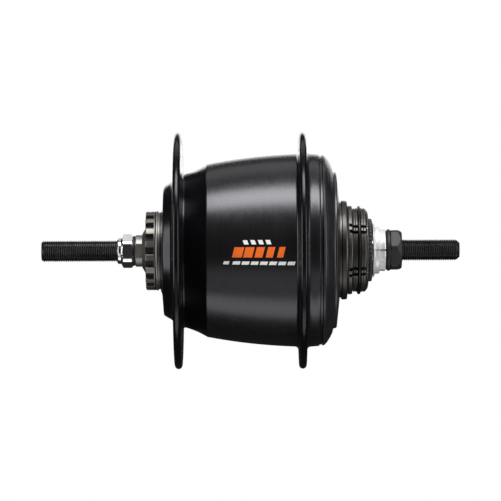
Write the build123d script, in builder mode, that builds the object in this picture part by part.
"""Five-speed bicycle hub gear, in millimetres.

The hub turns about the Y axis. +Y is the brake side (the rider's left), -Y the sprocket side, +X is
forward and +Z is up. The origin is halfway along the axle. The gears stand in fifth gear: the large sun
is locked to the axle, the driver turns the planet carrier and the ring gear turns the shell.
"""
from build123d import *
from math import acos, atan2, cos, degrees, hypot, pi, radians, sin, tan
import os

os.makedirs("parts", exist_ok=True)

# --- axle and locknuts
AXLE_END = 93.5
AXLE_R = 4.7625
AXLE_FLATS = 9.0
CORE_R = 6.5
CORE_LEFT = 34.0
CORE_RIGHT = -12.8
LEFT_NUT_FACE = 59.65
RIGHT_NUT_FACE = -67.6

# --- shell and spoke flanges
FLANGE_R = 53.0
LEFT_FLANGE_Y = 32.3
RIGHT_FLANGE_Y = -23.25
LEFT_SPOKE_PCD = 98.0
RIGHT_SPOKE_PCD = 96.8
SPOKE_HOLE_R = 1.45
SPOKES_PER_FLANGE = 18
BRAKE_BORE = 15.0
RIGHT_BORE = 39.4
SHELL_RIGHT = -31.6

# --- gear train
MODULE = 1.0
PRESSURE = radians(25)
ADDENDUM = 0.85
DEDENDUM = 1.1
BACKLASH = 0.16
RING_TEETH = 60
PLANET_LARGE = 18
PLANET_SMALL = 14
SUN_SMALL = 24
SUN_LARGE = 28
CENTRE_DISTANCE = MODULE * (SUN_SMALL + PLANET_LARGE) / 2
PLANETS = 3
PIN_R = 3.0
FIT = 0.05

# --- ball bearings: pitch radius, middle, ball radius, number of balls
LEFT_BEARING = (11.0, 40.5, 2.38, 10)
MAIN_BEARING = (26.0, -33.0, 2.38, 24)
DRIVER_BEARING = (12.2, -48.5, 1.98, 14)
RACE_GAP = 0.1

# --- shifting
SLEEVE_BORE = 5.06
SLEEVE_R = 6.5
SHIFT_TURN = 72.0
SHIFT_TRAVEL = 3.0
KEY_Y = -16.2
KEY_R = 1.0
ARM_ANGLES = (60, 180, 300)


def across(y):
    """The plane that cuts the hub at y, seen from the sprocket side with +X right and +Z up."""
    return Plane.XZ.offset(-y)


def turn(*points, mode=Mode.ADD):
    """Revolve a closed outline of (radius, y) points about the hub axis."""
    with BuildSketch(Plane.XY) as outline:
        with BuildLine():
            Polyline(*points, close=True)
        make_face()
    revolve(outline.sketch, axis=Axis.Y, mode=mode)


def race(bearing):
    """Cut a bearing's ball groove."""
    pitch_r, y, ball_r, _ = bearing
    with BuildSketch(Plane.XY) as groove:
        with Locations((pitch_r, y)):
            Circle(ball_r + RACE_GAP)
    revolve(groove.sketch, axis=Axis.Y, mode=Mode.SUBTRACT)


def rotor(y0, y1, sketch, mode=Mode.ADD):
    """Extrude a sketch drawn on across(y0) towards +Y as far as y1."""
    extrude(sketch, amount=y0 - y1, mode=mode)


def hexagon(y0, y1, flats, turned_r, angle, end):
    """A hexagon nut body with its corners turned down to turned_r and its outer end chamfered."""
    with BuildSketch(across(y0)) as shape:
        RegularPolygon(flats / 2, 6, major_radius=False, rotation=angle)
        Circle(turned_r, mode=Mode.INTERSECT)
    rotor(y0, y1, shape.sketch)
    inward = 1.4 if end == y0 else -1.4
    far_r = turned_r + 3
    near_r = flats / 2 - 0.2
    turn((near_r, end), (far_r, end), (far_r, end + inward * (far_r - near_r) / 2.4), mode=Mode.SUBTRACT)


def involute(r, base_r):
    """The involute angle at radius r."""
    pressure = acos(min(1.0, base_r / r))
    return tan(pressure) - pressure


def polar(r, angle):
    return (r * cos(angle), r * sin(angle))


def gear_outline(teeth, inner_r, outer_r, backlash, turned=0.0):
    """Face of a spur gear. With backlash below zero and the radii swapped, it is a ring gear's hollow."""
    pitch_r = MODULE * teeth / 2
    base_r = pitch_r * cos(PRESSURE)
    start_r = max(inner_r, base_r)
    middle_r = (start_r + outer_r) / 2
    half = pi / (2 * teeth) - backlash / (2 * pitch_r) + involute(pitch_r, base_r)

    def flank(r):
        return half - involute(r, base_r)

    pitch_angle = 2 * pi / teeth
    with BuildLine() as rim:
        for tooth in range(teeth):
            at = tooth * pitch_angle + radians(turned)
            foot = polar(start_r, at - flank(start_r))
            if inner_r < base_r:
                Line(polar(inner_r, at - flank(start_r)), foot)
            ThreePointArc(foot, polar(middle_r, at - flank(middle_r)), polar(outer_r, at - flank(outer_r)))
            ThreePointArc(polar(outer_r, at - flank(outer_r)), polar(outer_r, at),
                          polar(outer_r, at + flank(outer_r)))
            heel = polar(start_r, at + flank(start_r))
            ThreePointArc(polar(outer_r, at + flank(outer_r)), polar(middle_r, at + flank(middle_r)), heel)
            if inner_r < base_r:
                Line(heel, polar(inner_r, at + flank(start_r)))
            following = at + pitch_angle
            ThreePointArc(polar(inner_r, at + flank(start_r)), polar(inner_r, at + pitch_angle / 2),
                          polar(inner_r, following - flank(start_r)))
    make_face(rim.line.edges())


def gear(teeth, y0, y1, turned=0.0):
    """An external spur gear from y0 to y1, with a tooth at the angle turned."""
    pitch_r = MODULE * teeth / 2
    with BuildSketch(across(y0)) as wheel:
        gear_outline(teeth, pitch_r - DEDENDUM, pitch_r + ADDENDUM, BACKLASH, turned)
    rotor(y0, y1, wheel.sketch)


def ball_set(bearing):
    """The balls of a bearing, evenly spaced."""
    pitch_r, y, ball_r, count = bearing
    with Locations(across(y)):
        with PolarLocations(pitch_r, count):
            Sphere(ball_r)


def retainer(bearing, rail_side):
    """A crown retainer: a thin band with open pockets and one closed rail on the rail_side."""
    pitch_r, y, ball_r, count = bearing
    rail = y + rail_side * (ball_r + 0.7)
    crown = y - rail_side * ball_r * 0.5
    turn((pitch_r - 0.5, rail), (pitch_r + 0.5, rail), (pitch_r + 0.5, crown), (pitch_r - 0.5, crown))
    with Locations(across(y)):
        with PolarLocations(pitch_r, count):
            Sphere(ball_r + 0.06, mode=Mode.SUBTRACT)


# ====================================================================== axle and its fixed pieces

with BuildPart() as axle:
    turn((0, AXLE_END), (AXLE_R - 0.75, AXLE_END), (AXLE_R, AXLE_END - 0.9), (AXLE_R, CORE_LEFT),
         (CORE_R, CORE_LEFT), (CORE_R, CORE_RIGHT), (AXLE_R, CORE_RIGHT), (AXLE_R, -AXLE_END + 1.8),
         (AXLE_R - 1.5, -AXLE_END), (0, -AXLE_END))
    # two wrench-like flats on each threaded end keep the axle from turning in the dropouts
    for end, inner in ((AXLE_END, LEFT_NUT_FACE - 4), (-AXLE_END, RIGHT_NUT_FACE + 4)):
        with Locations((0, (end + inner) / 2, 0)):
            for side in (-1, 1):
                with Locations((side * (AXLE_FLATS + 4) / 2, 0, 0)):
                    Box(4, abs(end - inner), 4 * AXLE_R, mode=Mode.SUBTRACT)
    # cross slot for the shift key
    with BuildSketch(Plane.XY) as key_slot:
        with Locations((0, KEY_Y - SHIFT_TRAVEL / 2)):
            SlotOverall(SHIFT_TRAVEL + 2 * KEY_R + 0.8, 2 * KEY_R + 0.4, rotation=90)
    extrude(key_slot.sketch, amount=CORE_R + 1, both=True, mode=Mode.SUBTRACT)
    # thread relief at each locknut's outer face
    for face, outward in ((LEFT_NUT_FACE, 1), (RIGHT_NUT_FACE, -1)):
        inner, outer = face - outward * 0.7, face + outward * 0.3
        turn((4.3, inner), (AXLE_R + 1, inner), (AXLE_R + 1, outer), (4.3, outer), mode=Mode.SUBTRACT)
    # groove for the carrier's circlip and the seat of the sun key
    turn((5.9, 17.3), (CORE_R + 1, 17.3), (CORE_R + 1, 18.4), (5.9, 18.4), mode=Mode.SUBTRACT)
    with Locations((0, 7.9, CORE_R)):
        Box(2.4, 9.0, 2.4, mode=Mode.SUBTRACT)
axle.part.label = "axle"
export_step(axle.part, "parts/axle.step")

with BuildPart() as left_locknut:
    turn((AXLE_R, LEFT_NUT_FACE), (5.2, LEFT_NUT_FACE), (5.85, LEFT_NUT_FACE - 0.7), (5.85, 56.5),
         (AXLE_R, 56.5))
    hexagon(52.46, 57.5, 14.0, 7.6, 4, 57.5)
    turn((0, 50), (AXLE_R, 50), (AXLE_R, 60), (0, 60), mode=Mode.SUBTRACT)
left_locknut.part.label = "left_locknut"
export_step(left_locknut.part, "parts/left_locknut.step")

with BuildPart() as left_lock_washer:
    turn((AXLE_R, 52.46), (6.7, 52.46), (6.7, 51.8), (AXLE_R, 51.8))
left_lock_washer.part.label = "left_lock_washer"
export_step(left_lock_washer.part, "parts/left_lock_washer.step")

with BuildPart() as left_cone:
    turn((AXLE_R, 51.8), (6.9, 51.8), (7.1, 51.6), (7.1, 47.0), (7.6, 46.6), (10.2, 44.2), (10.2, 41.6),
         (9.0, 40.5), (9.0, 37.6), (8.0, 36.4), (AXLE_R, 36.4))
    race(LEFT_BEARING)
    # two wrench flats
    for side in (-1, 1):
        with Locations((side * 8.4, 50.2, 0)):
            Box(4, 3.6, 18, mode=Mode.SUBTRACT)
left_cone.part.label = "left_cone"
export_step(left_cone.part, "parts/left_cone.step")

with BuildPart() as left_dust_cone:
    turn((7.1, 48.4), (7.55, 48.4), (10.5, 46.7), (14.3, 46.1), (14.3, 45.5), (10.6, 45.5),
         (8.9, 46.3), (7.1, 47.4))
left_dust_cone.part.label = "left_dust_cone"
export_step(left_dust_cone.part, "parts/left_dust_cone.step")

with BuildPart() as large_sun:
    gear(SUN_LARGE, 3.0, 12.6)
    turn((0, 3.0), (CORE_R, 3.0), (CORE_R, 12.6), (0, 12.6), mode=Mode.SUBTRACT)
    with Locations((0, 7.9, CORE_R)):
        Box(2.4, 10.0, 2.4, mode=Mode.SUBTRACT)
large_sun.part.label = "large_sun"
export_step(large_sun.part, "parts/large_sun.step")

with BuildPart() as sun_key:
    with Locations((0, 7.9, CORE_R)):
        Box(2.4, 9.0, 2.4)
sun_key.part.label = "sun_key"
export_step(sun_key.part, "parts/sun_key.step")

with BuildPart() as sun_thrust_washer:
    turn((CORE_R, 2.3), (10.4, 2.3), (10.4, 2.9), (CORE_R, 2.9))
sun_thrust_washer.part.label = "sun_thrust_washer"
export_step(sun_thrust_washer.part, "parts/sun_thrust_washer.step")

with BuildPart() as axle_circlip:
    turn((5.9, 17.35), (8.2, 17.35), (8.2, 18.35), (5.9, 18.35))
    with Locations((0, 17.85, 8)):
        Box(3, 2, 6, mode=Mode.SUBTRACT)
axle_circlip.part.label = "axle_circlip"
export_step(axle_circlip.part, "parts/axle_circlip.step")

with BuildPart() as right_cone:
    turn((6.8, -44.8), (9.8, -44.8), (10.3, -45.3), (10.3, -48.5), (11.4, -48.9), (11.4, -51.9),
         (10.9, -52.4), (6.8, -52.4))
    race(DRIVER_BEARING)
    # two lugs reach through the sleeve's windows and hold the cone on the axle
    for side in (-1, 1):
        with Locations((side * 6.0, -49.0, 0)):
            Box(3.2, 3.6, 3.0)
    turn((0, -40), (AXLE_R, -40), (AXLE_R, -60), (0, -60), mode=Mode.SUBTRACT)
right_cone.part.label = "right_cone"
export_step(right_cone.part, "parts/right_cone.step")

with BuildPart() as right_locknut:
    turn((AXLE_R, -60.6), (8.7, -60.6), (9.3, -61.2), (9.3, -62.2), (8.6, -62.8), (8.6, -64), (AXLE_R, -64))
    hexagon(RIGHT_NUT_FACE, -62.6, 17.0, 9.35, 24, RIGHT_NUT_FACE)
    turn((0, -60), (AXLE_R, -60), (AXLE_R, -68), (0, -68), mode=Mode.SUBTRACT)
right_locknut.part.label = "right_locknut"
export_step(right_locknut.part, "parts/right_locknut.step")

# ====================================================================== shell and what turns with it

LEFT_SEAT_R = 33.0
RIGHT_SEAT_R = 44.0

with BuildPart() as hub_shell:
    with BuildSketch(Plane.XY) as shell_outline:
        with BuildLine():
            # outer side, from the brake end, with a seat for each spoke flange
            Polyline((BRAKE_BORE, 40.2), (17.2, 40.2), (17.2, 39.4), (20.0, 39.3), (28.7, 38.8), (29.4, 38.0),
                     (30.8, 35.4), (31.6, 34.7), (LEFT_SEAT_R, 34.35), (LEFT_SEAT_R, 30.0), (34.3, 29.4))
            ThreePointArc((34.3, 29.4), (36.2, 24.1), (38.66, 19.4))
            ThreePointArc((38.66, 19.4), (41.6, 0.3), (43.1, -20.0))
            Polyline((43.1, -20.0), (43.6, -20.7), (RIGHT_SEAT_R, -20.9), (RIGHT_SEAT_R, -25.5),
                     (43.5, -25.8), (43.1, -26.8), (42.8, -30.6), (42.3, -31.1), (42.3, SHELL_RIGHT))
            # inner side, from the sprocket end
            Polyline((42.3, SHELL_RIGHT), (RIGHT_BORE, SHELL_RIGHT), (RIGHT_BORE, -13.8), (38.6, -13.2))
            ThreePointArc((38.6, -13.2), (37.9, 1.0), (35.6, 17.6))
            Polyline((35.6, 17.6), (31.0, 17.6), (31.0, 29.4), (26.5, 31.0), (26.5, 35.0), (BRAKE_BORE, 35.0),
                     (BRAKE_BORE, 40.2))
        make_face()
    revolve(shell_outline.sketch, axis=Axis.Y)
hub_shell.part.label = "hub_shell"
export_step(hub_shell.part, "parts/hub_shell.step")

for side, flange_y, seat_r, seat_half, root_r, spoke_pcd, first in (
        ("left", LEFT_FLANGE_Y, LEFT_SEAT_R, 2.05, 35.2, LEFT_SPOKE_PCD, 0),
        ("right", RIGHT_FLANGE_Y, RIGHT_SEAT_R, 2.1, 45.2, RIGHT_SPOKE_PCD, 10)):
    with BuildPart() as flange:
        with BuildSketch(Plane.XY) as flange_outline:
            with BuildLine():
                Polyline((50.8, flange_y - 1.3), (47.5, flange_y - 1.6), (root_r, flange_y - 1.9),
                         (seat_r, flange_y - seat_half), (seat_r, flange_y + seat_half),
                         (root_r, flange_y + 1.9), (47.5, flange_y + 1.6), (50.8, flange_y + 1.3))
                ThreePointArc((50.8, flange_y + 1.3), (FLANGE_R, flange_y), (50.8, flange_y - 1.3))
            make_face()
        revolve(flange_outline.sketch, axis=Axis.Y)
        with Locations(across(flange_y)):
            with PolarLocations(spoke_pcd / 2, SPOKES_PER_FLANGE, start_angle=first):
                Cylinder(SPOKE_HOLE_R, 6, mode=Mode.SUBTRACT)
    flange.part.label = f"{side}_spoke_flange"
    export_step(flange.part, f"parts/{side}_spoke_flange.step")

with BuildPart() as brake_seat_ring:
    turn((BRAKE_BORE, 42.05), (17.6, 42.05), (17.95, 41.7), (17.95, 40.75), (17.6, 40.4), (BRAKE_BORE, 40.4))
brake_seat_ring.part.label = "brake_seat_ring"
export_step(brake_seat_ring.part, "parts/brake_seat_ring.step")

with BuildPart() as brake_spline_ring:
    turn((BRAKE_BORE, 46.7), (17.2, 46.7), (17.6, 46.3), (17.7, 42.5), (17.4, 42.15), (BRAKE_BORE, 42.15))
    with BuildSketch(across(42.9)) as gaps:
        with PolarLocations(17.6, 18):
            Rectangle(2.8, 3.3)
    rotor(42.9, 47.2, gaps.sketch, mode=Mode.SUBTRACT)
brake_spline_ring.part.label = "brake_spline_ring"
export_step(brake_spline_ring.part, "parts/brake_spline_ring.step")

with BuildPart() as left_ball_cup:
    turn((14.4, 44.9), (BRAKE_BORE, 44.9), (BRAKE_BORE, 36.0), (11.8, 36.0), (11.8, 40.0),
         (13.4, 40.5), (13.4, 44.0))
    race(LEFT_BEARING)
left_ball_cup.part.label = "left_ball_cup"
export_step(left_ball_cup.part, "parts/left_ball_cup.step")

with BuildPart() as roller_race:
    turn((29.0, 18.2), (31.0, 18.2), (31.0, 28.6), (29.0, 28.6))
roller_race.part.label = "roller_race"
export_step(roller_race.part, "parts/roller_race.step")

RATCHET_TEETH = 24
RATCHET_TIP = 35.2
RATCHET_ROOT = 36.8
RATCHET_LEAN = radians(0.9)

with BuildPart() as right_ball_cup:
    turn((RIGHT_BORE, -14.0), (RIGHT_BORE, SHELL_RIGHT), (37.0, SHELL_RIGHT), (37.0, -34.7), (35.8, -35.6),
         (28.0, -35.6), (28.0, -33.0), (26.8, -33.0), (26.8, -30.0), (29.5, -29.2), (34.6, -28.9),
         (36.8, -27.0), (36.8, -24.0), (RATCHET_TIP, -24.0), (RATCHET_TIP, -14.0))
    race(MAIN_BEARING)
    # saw teeth: a slightly leaning face that the pawls push and a long sloping back
    step = 2 * pi / RATCHET_TEETH
    with BuildSketch(across(-24.0)) as notches:
        for tooth in range(RATCHET_TEETH):
            face = tooth * step
            with BuildLine():
                Polyline(polar(RATCHET_TIP - 0.6, face - RATCHET_LEAN), polar(RATCHET_ROOT, face),
                         polar(RATCHET_ROOT, face + 0.25 * step),
                         polar(RATCHET_TIP - 0.6, face + 0.85 * step), close=True)
            make_face()
    rotor(-24.0, -13.0, notches.sketch, mode=Mode.SUBTRACT)
right_ball_cup.part.label = "right_ball_cup"
export_step(right_ball_cup.part, "parts/right_ball_cup.step")

with BuildPart() as right_dust_cap:
    turn((37.05, -31.9), (42.7, -31.9), (42.5, -32.8), (41.6, -33.7), (40.3, -34.6), (38.9, -35.5),
         (37.1, -36.4), (35.2, -36.9), (34.9, -37.3), (34.9, -38.1), (34.5, -38.4), (22.0, -39.7), (22.0, -38.5),
         (33.0, -37.3), (33.0, -35.9), (35.9, -35.7), (37.05, -34.8))
right_dust_cap.part.label = "right_dust_cap"
export_step(right_dust_cap.part, "parts/right_dust_cap.step")

# ====================================================================== driver

CIRCLIP_SEAT = 17.7

with BuildPart() as driver:
    with BuildSketch(Plane.XY) as driver_outline:
        with BuildLine():
            Polyline((19.6, -13.2), (22.0, -13.2), (22.0, -30.2), (24.0, -30.2), (24.0, -33.0), (25.2, -33.6),
                     (25.2, -36.6), (24.4, -37.4), (21.3, -37.4), (21.3, -43.1), (19.6, -43.4), (19.8, -43.7),
                     (19.8, -45.1), (19.5, -45.4), (18.4, -45.6), (18.4, -47.5), (CIRCLIP_SEAT, -47.5),
                     (CIRCLIP_SEAT, -49.2), (18.45, -49.4), (18.45, -51.0))
            ThreePointArc((18.45, -51.0), (17.9, -51.9), (16.6, -52.5))
            Polyline((16.6, -52.5), (14.2, -52.5), (14.2, -48.5), (13.0, -48.3), (13.0, -36.0), (7.6, -36.0),
                     (7.6, -33.0), (19.6, -33.0), (19.6, -13.2))
        make_face()
    revolve(driver_outline.sketch, axis=Axis.Y)
    race(MAIN_BEARING)
    race(DRIVER_BEARING)
    # three open slots for the clutch arms
    with BuildSketch(across(-26.4)) as arm_slots:
        for angle in ARM_ANGLES:
            with Locations(polar(21, radians(angle))):
                Rectangle(6, 7.8, rotation=angle)
    rotor(-26.4, -12.0, arm_slots.sketch, mode=Mode.SUBTRACT)
    # six axial grooves take the sprocket's inner teeth
    with BuildSketch(across(-53.0)) as sprocket_grooves:
        with PolarLocations(18.6, 6, start_angle=180 - 29.5):
            Rectangle(2.4, 4.3)
    rotor(-53.0, -43.9, sprocket_grooves.sketch, mode=Mode.SUBTRACT)
driver.part.label = "driver"
export_step(driver.part, "parts/driver.step")

with BuildPart() as driver_dust_ring:
    turn((21.3, -40.5), (21.9, -40.5), (22.1, -40.8), (22.1, -42.6), (21.8, -43.1), (21.3, -43.1))
driver_dust_ring.part.label = "driver_dust_ring"
export_step(driver_dust_ring.part, "parts/driver_dust_ring.step")

with BuildPart() as sprocket_snap_ring:
    turn((CIRCLIP_SEAT, -47.55), (19.4, -47.55), (19.8, -47.9), (19.8, -48.7), (19.4, -49.15),
         (CIRCLIP_SEAT, -49.15))
    with BuildSketch(across(-50.0)) as split_gap:
        with Locations(polar(19, radians(330))):
            Rectangle(6, 3.4, rotation=330)
    rotor(-50.0, -47.0, split_gap.sketch, mode=Mode.SUBTRACT)
sprocket_snap_ring.part.label = "sprocket_snap_ring"
export_step(sprocket_snap_ring.part, "parts/sprocket_snap_ring.step")

with BuildPart() as driver_seal_ring:
    turn((12.7, -50.9), (14.2, -50.9), (14.2, -52.5), (13.9, -52.6), (14.05, -53.0), (14.05, -53.9),
         (13.7, -54.3), (12.7, -54.3))
    with BuildSketch(across(-54.5)) as serrations:
        with PolarLocations(14.1, 40):
            Rectangle(0.5, 0.9)
    rotor(-54.5, -53.3, serrations.sketch, mode=Mode.SUBTRACT)
driver_seal_ring.part.label = "driver_seal_ring"
export_step(driver_seal_ring.part, "parts/driver_seal_ring.step")

# ====================================================================== planet carrier

CARRIER_R = 26.5

with BuildPart() as planet_carrier:
    turn((CORE_R + FIT, -12.0), (CARRIER_R, -12.0), (CARRIER_R, -8.5), (CORE_R + FIT, -8.5))
    turn((CORE_R + FIT, 13.6), (CARRIER_R, 13.6), (CARRIER_R, 17.0), (CORE_R + FIT, 17.0))
    # three posts join the two plates between the planets
    with BuildSketch(across(-9.0)) as posts:
        Circle(CARRIER_R)
        Circle(17, mode=Mode.SUBTRACT)
        with BuildSketch(mode=Mode.INTERSECT):
            for angle in ARM_ANGLES:
                with Locations(polar(22, radians(angle))):
                    Rectangle(14, 11, rotation=angle)
    rotor(-9.0, 14.0, posts.sketch)
    # pockets for the clutch dogs
    with BuildSketch(across(-12.5)) as pockets:
        for angle in ARM_ANGLES:
            with Locations(polar(17.25, radians(angle))):
                Rectangle(4.1, 7.0, rotation=angle)
    rotor(-12.5, -9.2, pockets.sketch, mode=Mode.SUBTRACT)
    with Locations(across(0)):
        with PolarLocations(CENTRE_DISTANCE, PLANETS):
            Cylinder(PIN_R, 60, mode=Mode.SUBTRACT)
planet_carrier.part.label = "planet_carrier"
export_step(planet_carrier.part, "parts/planet_carrier.step")

with BuildPart() as planet_pins:
    with BuildSketch(across(-12.0)) as pin_ends:
        with PolarLocations(CENTRE_DISTANCE, PLANETS):
            Circle(PIN_R)
    rotor(-12.0, 17.0, pin_ends.sketch)
planet_pins.part.label = "planet_pins"
export_step(planet_pins.part, "parts/planet_pins.step")

ROLLER_R = 2.35
ROLLER_PITCH = 26.5
ROLLERS = 12

with BuildPart() as roller_cam:
    turn((20.0, 17.0), (25.3, 17.0), (25.3, 28.2), (20.0, 28.2))
    # each pocket is deep where its roller runs free and has a ramp behind it that wedges the roller
    with BuildSketch(across(17.9)) as hollows:
        with PolarLocations(ROLLER_PITCH, ROLLERS):
            Circle(ROLLER_R + 0.15)
        with PolarLocations(ROLLER_PITCH + 0.3, ROLLERS, start_angle=4):
            Circle(ROLLER_R + 0.15)
    rotor(17.9, 29.0, hollows.sketch, mode=Mode.SUBTRACT)
roller_cam.part.label = "roller_cam"
export_step(roller_cam.part, "parts/roller_cam.step")

with BuildPart() as clutch_rollers:
    with BuildSketch(across(19.4)) as roller_ends:
        with PolarLocations(ROLLER_PITCH, ROLLERS):
            Circle(ROLLER_R)
    rotor(19.4, 27.4, roller_ends.sketch)
clutch_rollers.part.label = "clutch_rollers"
export_step(clutch_rollers.part, "parts/clutch_rollers.step")

with BuildPart() as roller_cage:
    turn((25.6, 18.3), (28.3, 18.3), (28.3, 28.2), (25.6, 28.2))
    with BuildSketch(across(19.3)) as windows:
        with PolarLocations(ROLLER_PITCH, ROLLERS):
            Circle(ROLLER_R + 0.1)
    rotor(19.3, 27.5, windows.sketch, mode=Mode.SUBTRACT)
roller_cage.part.label = "roller_cage"
export_step(roller_cage.part, "parts/roller_cage.step")

# ====================================================================== planets, ring gear and pawls

for number in range(PLANETS):
    station = Location(Vector(*polar(CENTRE_DISTANCE, 2 * pi * number / PLANETS)))
    centre = (station.position.X, 0, station.position.Y)
    with BuildPart() as planet:
        with BuildSketch(across(-6.5)) as large_wheel:
            gear_outline(PLANET_LARGE, PLANET_LARGE / 2 - DEDENDUM, PLANET_LARGE / 2 + ADDENDUM, BACKLASH,
                         180 / PLANET_LARGE)
        rotor(-6.5, 2.2, large_wheel.sketch)
        with BuildSketch(across(3.3)) as small_wheel:
            gear_outline(PLANET_SMALL, PLANET_SMALL / 2 - DEDENDUM, PLANET_SMALL / 2 + ADDENDUM, BACKLASH,
                         180 / PLANET_SMALL)
        rotor(3.3, 12.4, small_wheel.sketch)
        turn((0, -8.1), (4.6, -8.1), (4.6, -6.6), (5.6, -6.4), (5.6, 12.4), (4.6, 12.5), (4.6, 13.2),
             (0, 13.2))
        turn((0, -9), (PIN_R + FIT, -9), (PIN_R + FIT, 14), (0, 14), mode=Mode.SUBTRACT)
    placed = planet.part.moved(Location(centre))
    placed.label = f"planet_{number + 1}"
    export_step(placed, f"parts/planet_{number + 1}.step")

RING_R = 34.4
PAWL_PIVOT_R = 31.6
PAWL_ANGLES = (0, 180)
PAWL_KNUCKLE = 1.7

with BuildPart() as ring_gear:
    turn((0, 3.0), (RING_R, 3.0), (RING_R, -28.0), (23.3, -28.0), (23.3, -25.0), (28.5, -24.0), (28.5, -13.5),
         (31.6, -13.0), (31.6, -7.0), (0, -7.0))
    with BuildSketch(across(-7.5)) as hollow:
        gear_outline(RING_TEETH, RING_TEETH / 2 - ADDENDUM, RING_TEETH / 2 + DEDENDUM, -BACKLASH,
                     180 / RING_TEETH)
    rotor(-7.5, 3.5, hollow.sketch, mode=Mode.SUBTRACT)
    # dogs for the direct and low gears
    with BuildSketch(across(-29.0)) as dog_gaps:
        for count in range(6):
            with Locations(polar(24.6, radians(60 * count + 30))):
                Rectangle(4.2, 14, rotation=60 * count + 30)
    rotor(-29.0, -24.4, dog_gaps.sketch, mode=Mode.SUBTRACT)
    # pockets for the pawls, whose tips point the way the hub turns, and a groove for their spring
    with BuildSketch(across(-23.0)) as pawl_pockets:
        for angle in PAWL_ANGLES:
            with Locations(polar(PAWL_PIVOT_R, radians(angle))):
                Circle(PAWL_KNUCKLE + 0.1)
            with BuildLine():
                Polyline(*[polar(r, radians(angle - a)) for r, a in
                           ((PAWL_PIVOT_R - 1.8, 0), (29.9, 17), (RING_R + 1, 17), (RING_R + 1, 1.5),
                            (PAWL_PIVOT_R + 1.7, 0))], close=True)
            make_face()
    rotor(-23.0, -14.4, pawl_pockets.sketch, mode=Mode.SUBTRACT)
    turn((33.3, -19.3), (35, -19.3), (35, -18.1), (33.3, -18.1), mode=Mode.SUBTRACT)
ring_gear.part.label = "ring_gear"
export_step(ring_gear.part, "parts/ring_gear.step")

for number, angle in enumerate(PAWL_ANGLES):
    with BuildPart() as pawl:
        with BuildSketch(across(-22.8)) as pawl_side:
            with Locations(polar(PAWL_PIVOT_R, radians(angle))):
                Circle(PAWL_KNUCKLE)
            with BuildLine():
                Polyline(*[polar(r, radians(angle - a)) for r, a in
                           ((PAWL_PIVOT_R - 1.6, 1.0), (33.2, 14.4), (36.2, 14.4), (36.2, 13.2), (34.2, 10.3),
                            (PAWL_PIVOT_R + 1.6, 1.0))], close=True)
            make_face()
        rotor(-22.8, -14.6, pawl_side.sketch)
        turn((32.6, -19.6), (38, -19.6), (38, -17.8), (32.6, -17.8), mode=Mode.SUBTRACT)
    pawl.part.label = f"pawl_{number + 1}"
    export_step(pawl.part, f"parts/pawl_{number + 1}.step")

with BuildPart() as pawl_spring_ring:
    turn((33.35, -19.1), (34.1, -19.1), (34.1, -18.3), (33.35, -18.3))
    with Locations((0, -18.7, 33.7)):
        Box(2.5, 3, 3, mode=Mode.SUBTRACT)
pawl_spring_ring.part.label = "pawl_spring_ring"
export_step(pawl_spring_ring.part, "parts/pawl_spring_ring.step")

with BuildPart() as small_sun:
    gear(SUN_SMALL, -6.5, 2.0)
    turn((CORE_R, -8.0), (9.6, -8.0), (9.6, -6.0), (CORE_R, -6.0))
    turn((0, -9), (CORE_R + FIT, -9), (CORE_R + FIT, 3), (0, 3), mode=Mode.SUBTRACT)
small_sun.part.label = "small_sun"
export_step(small_sun.part, "parts/small_sun.step")

# ====================================================================== ball bearings

for name, bearing, rail_side in (
        ("left", LEFT_BEARING, -1), ("main", MAIN_BEARING, 1), ("driver", DRIVER_BEARING, 1)):
    with BuildPart() as balls:
        ball_set(bearing)
    balls.part.label = f"{name}_balls"
    export_step(balls.part, f"parts/{name}_balls.step")
    with BuildPart() as cage:
        retainer(bearing, rail_side)
    cage.part.label = f"{name}_ball_retainer"
    export_step(cage.part, f"parts/{name}_ball_retainer.step")

# ====================================================================== shifting

SLEEVE_HEAD = -54.7
SLEEVE_END = -60.3
CLUTCH_FACE = -17.4
CLUTCH_BACK = -20.4

with BuildPart() as shift_sleeve:
    turn((SLEEVE_BORE, -13.2), (SLEEVE_R, -13.2), (SLEEVE_R, SLEEVE_HEAD), (SLEEVE_BORE, SLEEVE_HEAD))
    # windows that let the cone's lugs through while the sleeve turns
    with BuildSketch(across(-51.2)) as window_sector:
        for start in (-21, 159):
            with BuildLine():
                Polyline((0, 0), *[polar(20, radians(start + a)) for a in (0, 38, 76, 114)], close=True)
            make_face()
        Circle(SLEEVE_R + 1, mode=Mode.INTERSECT)
    rotor(-51.2, -46.8, window_sector.sketch, mode=Mode.SUBTRACT)
    # two helical slots draw the shift key along the axle
    half_turn = radians(SHIFT_TURN / 2)
    slope = (SHIFT_TRAVEL / 2) / ((SLEEVE_BORE + SLEEVE_R) / 2 * sin(half_turn))
    reach = SLEEVE_R * sin(half_turn) + 0.5
    for facing in (90 + SHIFT_TURN / 2, 270 + SHIFT_TURN / 2):
        outward = Vector(cos(radians(facing)), 0, sin(radians(facing)))
        sideways = Vector(-sin(radians(facing)), 0, cos(radians(facing)))
        with BuildSketch(Plane(origin=(0, 0, 0), x_dir=sideways, z_dir=outward)) as helical_slot:
            with Locations((0, -(KEY_Y - SHIFT_TRAVEL / 2))):
                SlotCenterToCenter(2 * reach * hypot(1, slope), 2 * KEY_R + 1.2,
                                   rotation=degrees(atan2(slope, 1)))
        extrude(helical_slot.sketch, amount=10, mode=Mode.SUBTRACT)
shift_sleeve.part.label = "shift_sleeve"
export_step(shift_sleeve.part, "parts/shift_sleeve.step")

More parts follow.
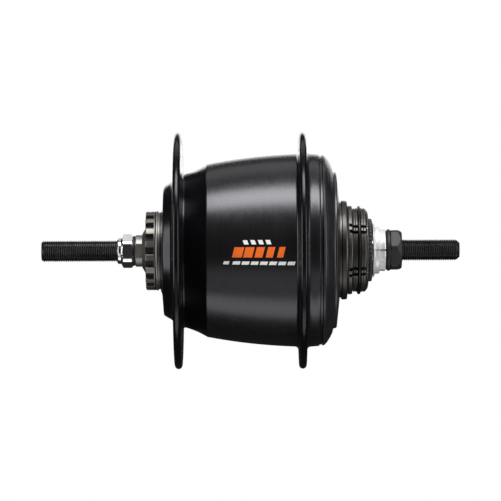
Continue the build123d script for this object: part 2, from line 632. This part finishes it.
# the sleeve's head, outside the driver, is a piece of its own
with BuildPart() as shift_sleeve_head:
    turn((SLEEVE_BORE, SLEEVE_HEAD), (12.2, SLEEVE_HEAD), (12.2, -55.0), (10.6, -55.7), (10.6, -57.5),
         (9.43, -57.7), (9.43, SLEEVE_END), (SLEEVE_BORE, SLEEVE_END))
    # an index notch on the neck
    with Locations((-9.4, -59.0, 0.5)):
        Box(1.2, 4, 0.7, mode=Mode.SUBTRACT)
shift_sleeve_head.part.label = "shift_sleeve_head"
export_step(shift_sleeve_head.part, "parts/shift_sleeve_head.step")

with BuildPart() as shift_key:
    with Locations((0, KEY_Y, 0)):
        Cylinder(KEY_R, 21.6)
shift_key.part.label = "shift_key"
export_step(shift_key.part, "parts/shift_key.step")

with BuildPart() as shift_thrust_ring:
    turn((8.4, -15.0), (10.9, -15.0), (10.9, -17.3), (8.4, -17.3))
    with Locations((0, KEY_Y, 0)):
        Cylinder(KEY_R, 30, mode=Mode.SUBTRACT)
shift_thrust_ring.part.label = "shift_thrust_ring"
export_step(shift_thrust_ring.part, "parts/shift_thrust_ring.step")

with BuildPart() as clutch_ring:
    turn((7.4, CLUTCH_FACE), (14.5, CLUTCH_FACE), (14.5, CLUTCH_BACK), (7.4, CLUTCH_BACK))
    with BuildSketch(across(CLUTCH_BACK)) as arms:
        for angle in ARM_ANGLES:
            with Locations(polar(18.8, radians(angle))):
                Rectangle(12.8, 7.0, rotation=angle)
    rotor(CLUTCH_BACK, CLUTCH_FACE, arms.sketch)
    with BuildSketch(across(CLUTCH_FACE)) as dogs:
        for angle in ARM_ANGLES:
            with Locations(polar(17.25, radians(angle))):
                Rectangle(3.5, 6.4, rotation=angle)
    rotor(CLUTCH_FACE, -9.5, dogs.sketch)
clutch_ring.part.label = "clutch_ring"
export_step(clutch_ring.part, "parts/clutch_ring.step")

SPRING_R = 10.6
SPRING_WIRE = 0.65

with BuildPart() as clutch_spring:
    with BuildLine() as coil:
        Helix(pitch=2.4, height=10.8, radius=SPRING_R, center=(0, CLUTCH_BACK - 0.75, 0),
              direction=(0, -1, 0))
    with BuildSketch(Plane(origin=coil.line @ 0, z_dir=coil.line % 0)):
        Circle(SPRING_WIRE)
    sweep(path=coil.line, is_frenet=True)
clutch_spring.part.label = "clutch_spring"
export_step(clutch_spring.part, "parts/clutch_spring.step")
